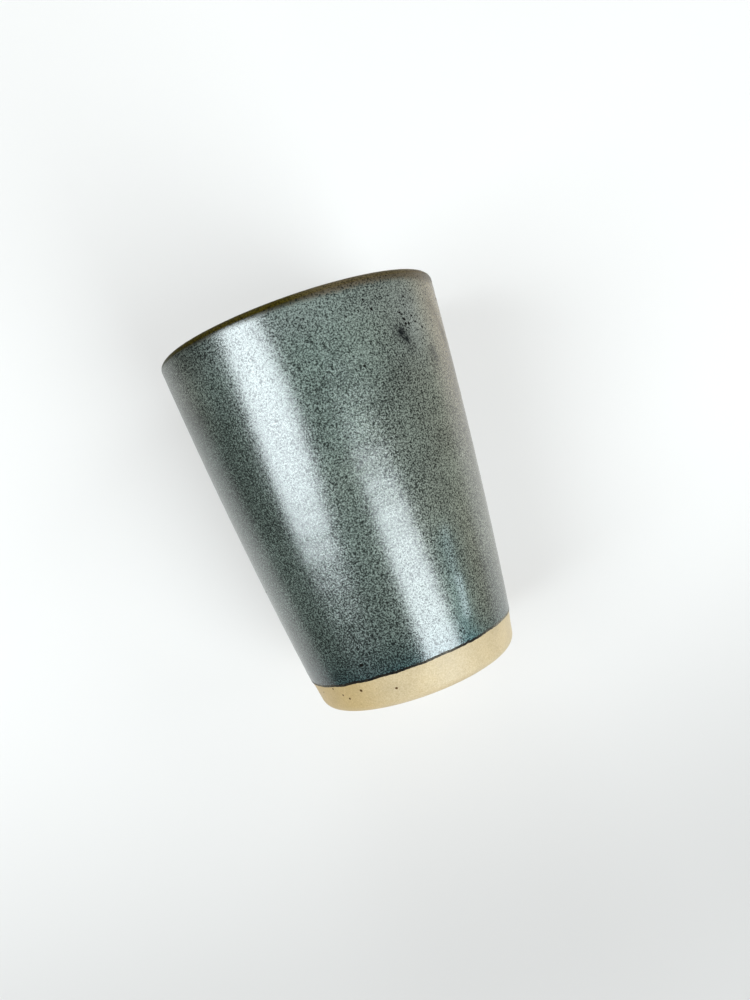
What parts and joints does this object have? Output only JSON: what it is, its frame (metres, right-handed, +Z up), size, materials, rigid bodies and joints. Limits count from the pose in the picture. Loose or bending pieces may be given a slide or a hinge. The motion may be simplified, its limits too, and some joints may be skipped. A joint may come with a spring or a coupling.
{
  "type": "yunomi tea cup",
  "caption": "Tall handleless stoneware tea cup with a tapered wall, speckled blue-grey glaze, brown rim and bare clay foot, for drinking tea.",
  "frame": {"origin": "middle of the plane that the foot ring stands on", "axes": "+Z up through the mouth, along the cup's axis; the cup is round, so X and Y are alike"},
  "size_m": [0.0756, 0.0756, 0.1],
  "materials": {
    "clay": "matte bare buff stoneware with fine grain and iron specks",
    "outer_glaze": "satin blue-grey glaze, finely speckled",
    "glaze_edge": "dark glossy rolled glaze edge",
    "rim_glaze": "satin brown where the glaze breaks over the lip",
    "liner_glaze": "satin blue-grey glaze, lightly speckled"
  },
  "bodies": {
    "root": {"clay_body": "clay", "outer_glaze": "outer_glaze", "glaze_edge": "glaze_edge", "rim_glaze": "rim_glaze", "liner_glaze": "liner_glaze"}
  },
  "joints": []
}
